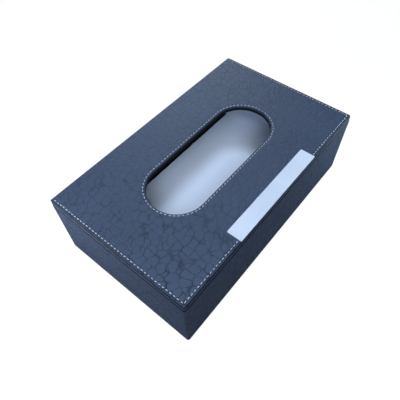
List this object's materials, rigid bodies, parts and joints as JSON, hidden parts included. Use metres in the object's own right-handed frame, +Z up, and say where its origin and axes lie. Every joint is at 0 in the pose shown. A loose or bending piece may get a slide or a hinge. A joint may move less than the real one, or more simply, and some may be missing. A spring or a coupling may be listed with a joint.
{
  "type": "tissue box with flip lid",
  "caption": "Rectangular leatherette tissue box with a back-hinged flip lid, a round-ended tissue slot, stitched edges and a bare plate.",
  "frame": {"origin": "middle of the underside of the closed box, on the surface that it stands on", "axes": "+X along the long side, left to right seen from the front; -Y to the front, where the plate is; +Y to the hinge; +Z up"},
  "size_m": [0.25, 0.15, 0.0756],
  "materials": {
    "embossed_leather": "crocodile-like emboss, satin",
    "wall_leatherette": "fine pebble grain, satin",
    "edge_leather": "smooth, satin",
    "dark_lining": "flocked, matt",
    "white_lining": "smooth white sheet",
    "base_felt": "felt",
    "board": "fibreboard",
    "thread": "waxed thread",
    "plate": "satin, bare",
    "magnet": "nickel plated"
  },
  "bodies": {
    "box": {"base_board": "board", "front_wall_board": "board", "back_wall_board": "board", "left_wall_board": "board", "right_wall_board": "board", "wall_cover": "wall_leatherette", "base_cover": "base_felt", "floor_lining": "white_lining", "front_lining": "dark_lining", "back_lining": "dark_lining", "left_lining": "white_lining", "right_lining": "white_lining", "wall_magnets": "magnet", "hinge_leather": "embossed_leather"},
    "lid": {"lid_board": "board", "top_panel": "embossed_leather", "lid_edge_band": "edge_leather", "slot_edge_band": "dark_lining", "lid_lining": "dark_lining", "edge_stitching": "thread", "slot_stitching": "thread", "name_plate": "plate", "lid_magnets": "magnet"}
  },
  "joints": [
    {"name": "lid_hinge", "type": "hinge", "parent": "box", "child": "lid", "pos_m": [0, 0.075, 0.07015], "axis": [-1, 0, 0], "range_deg": [0, 175], "deforming": ["hinge_leather"]}
  ]
}
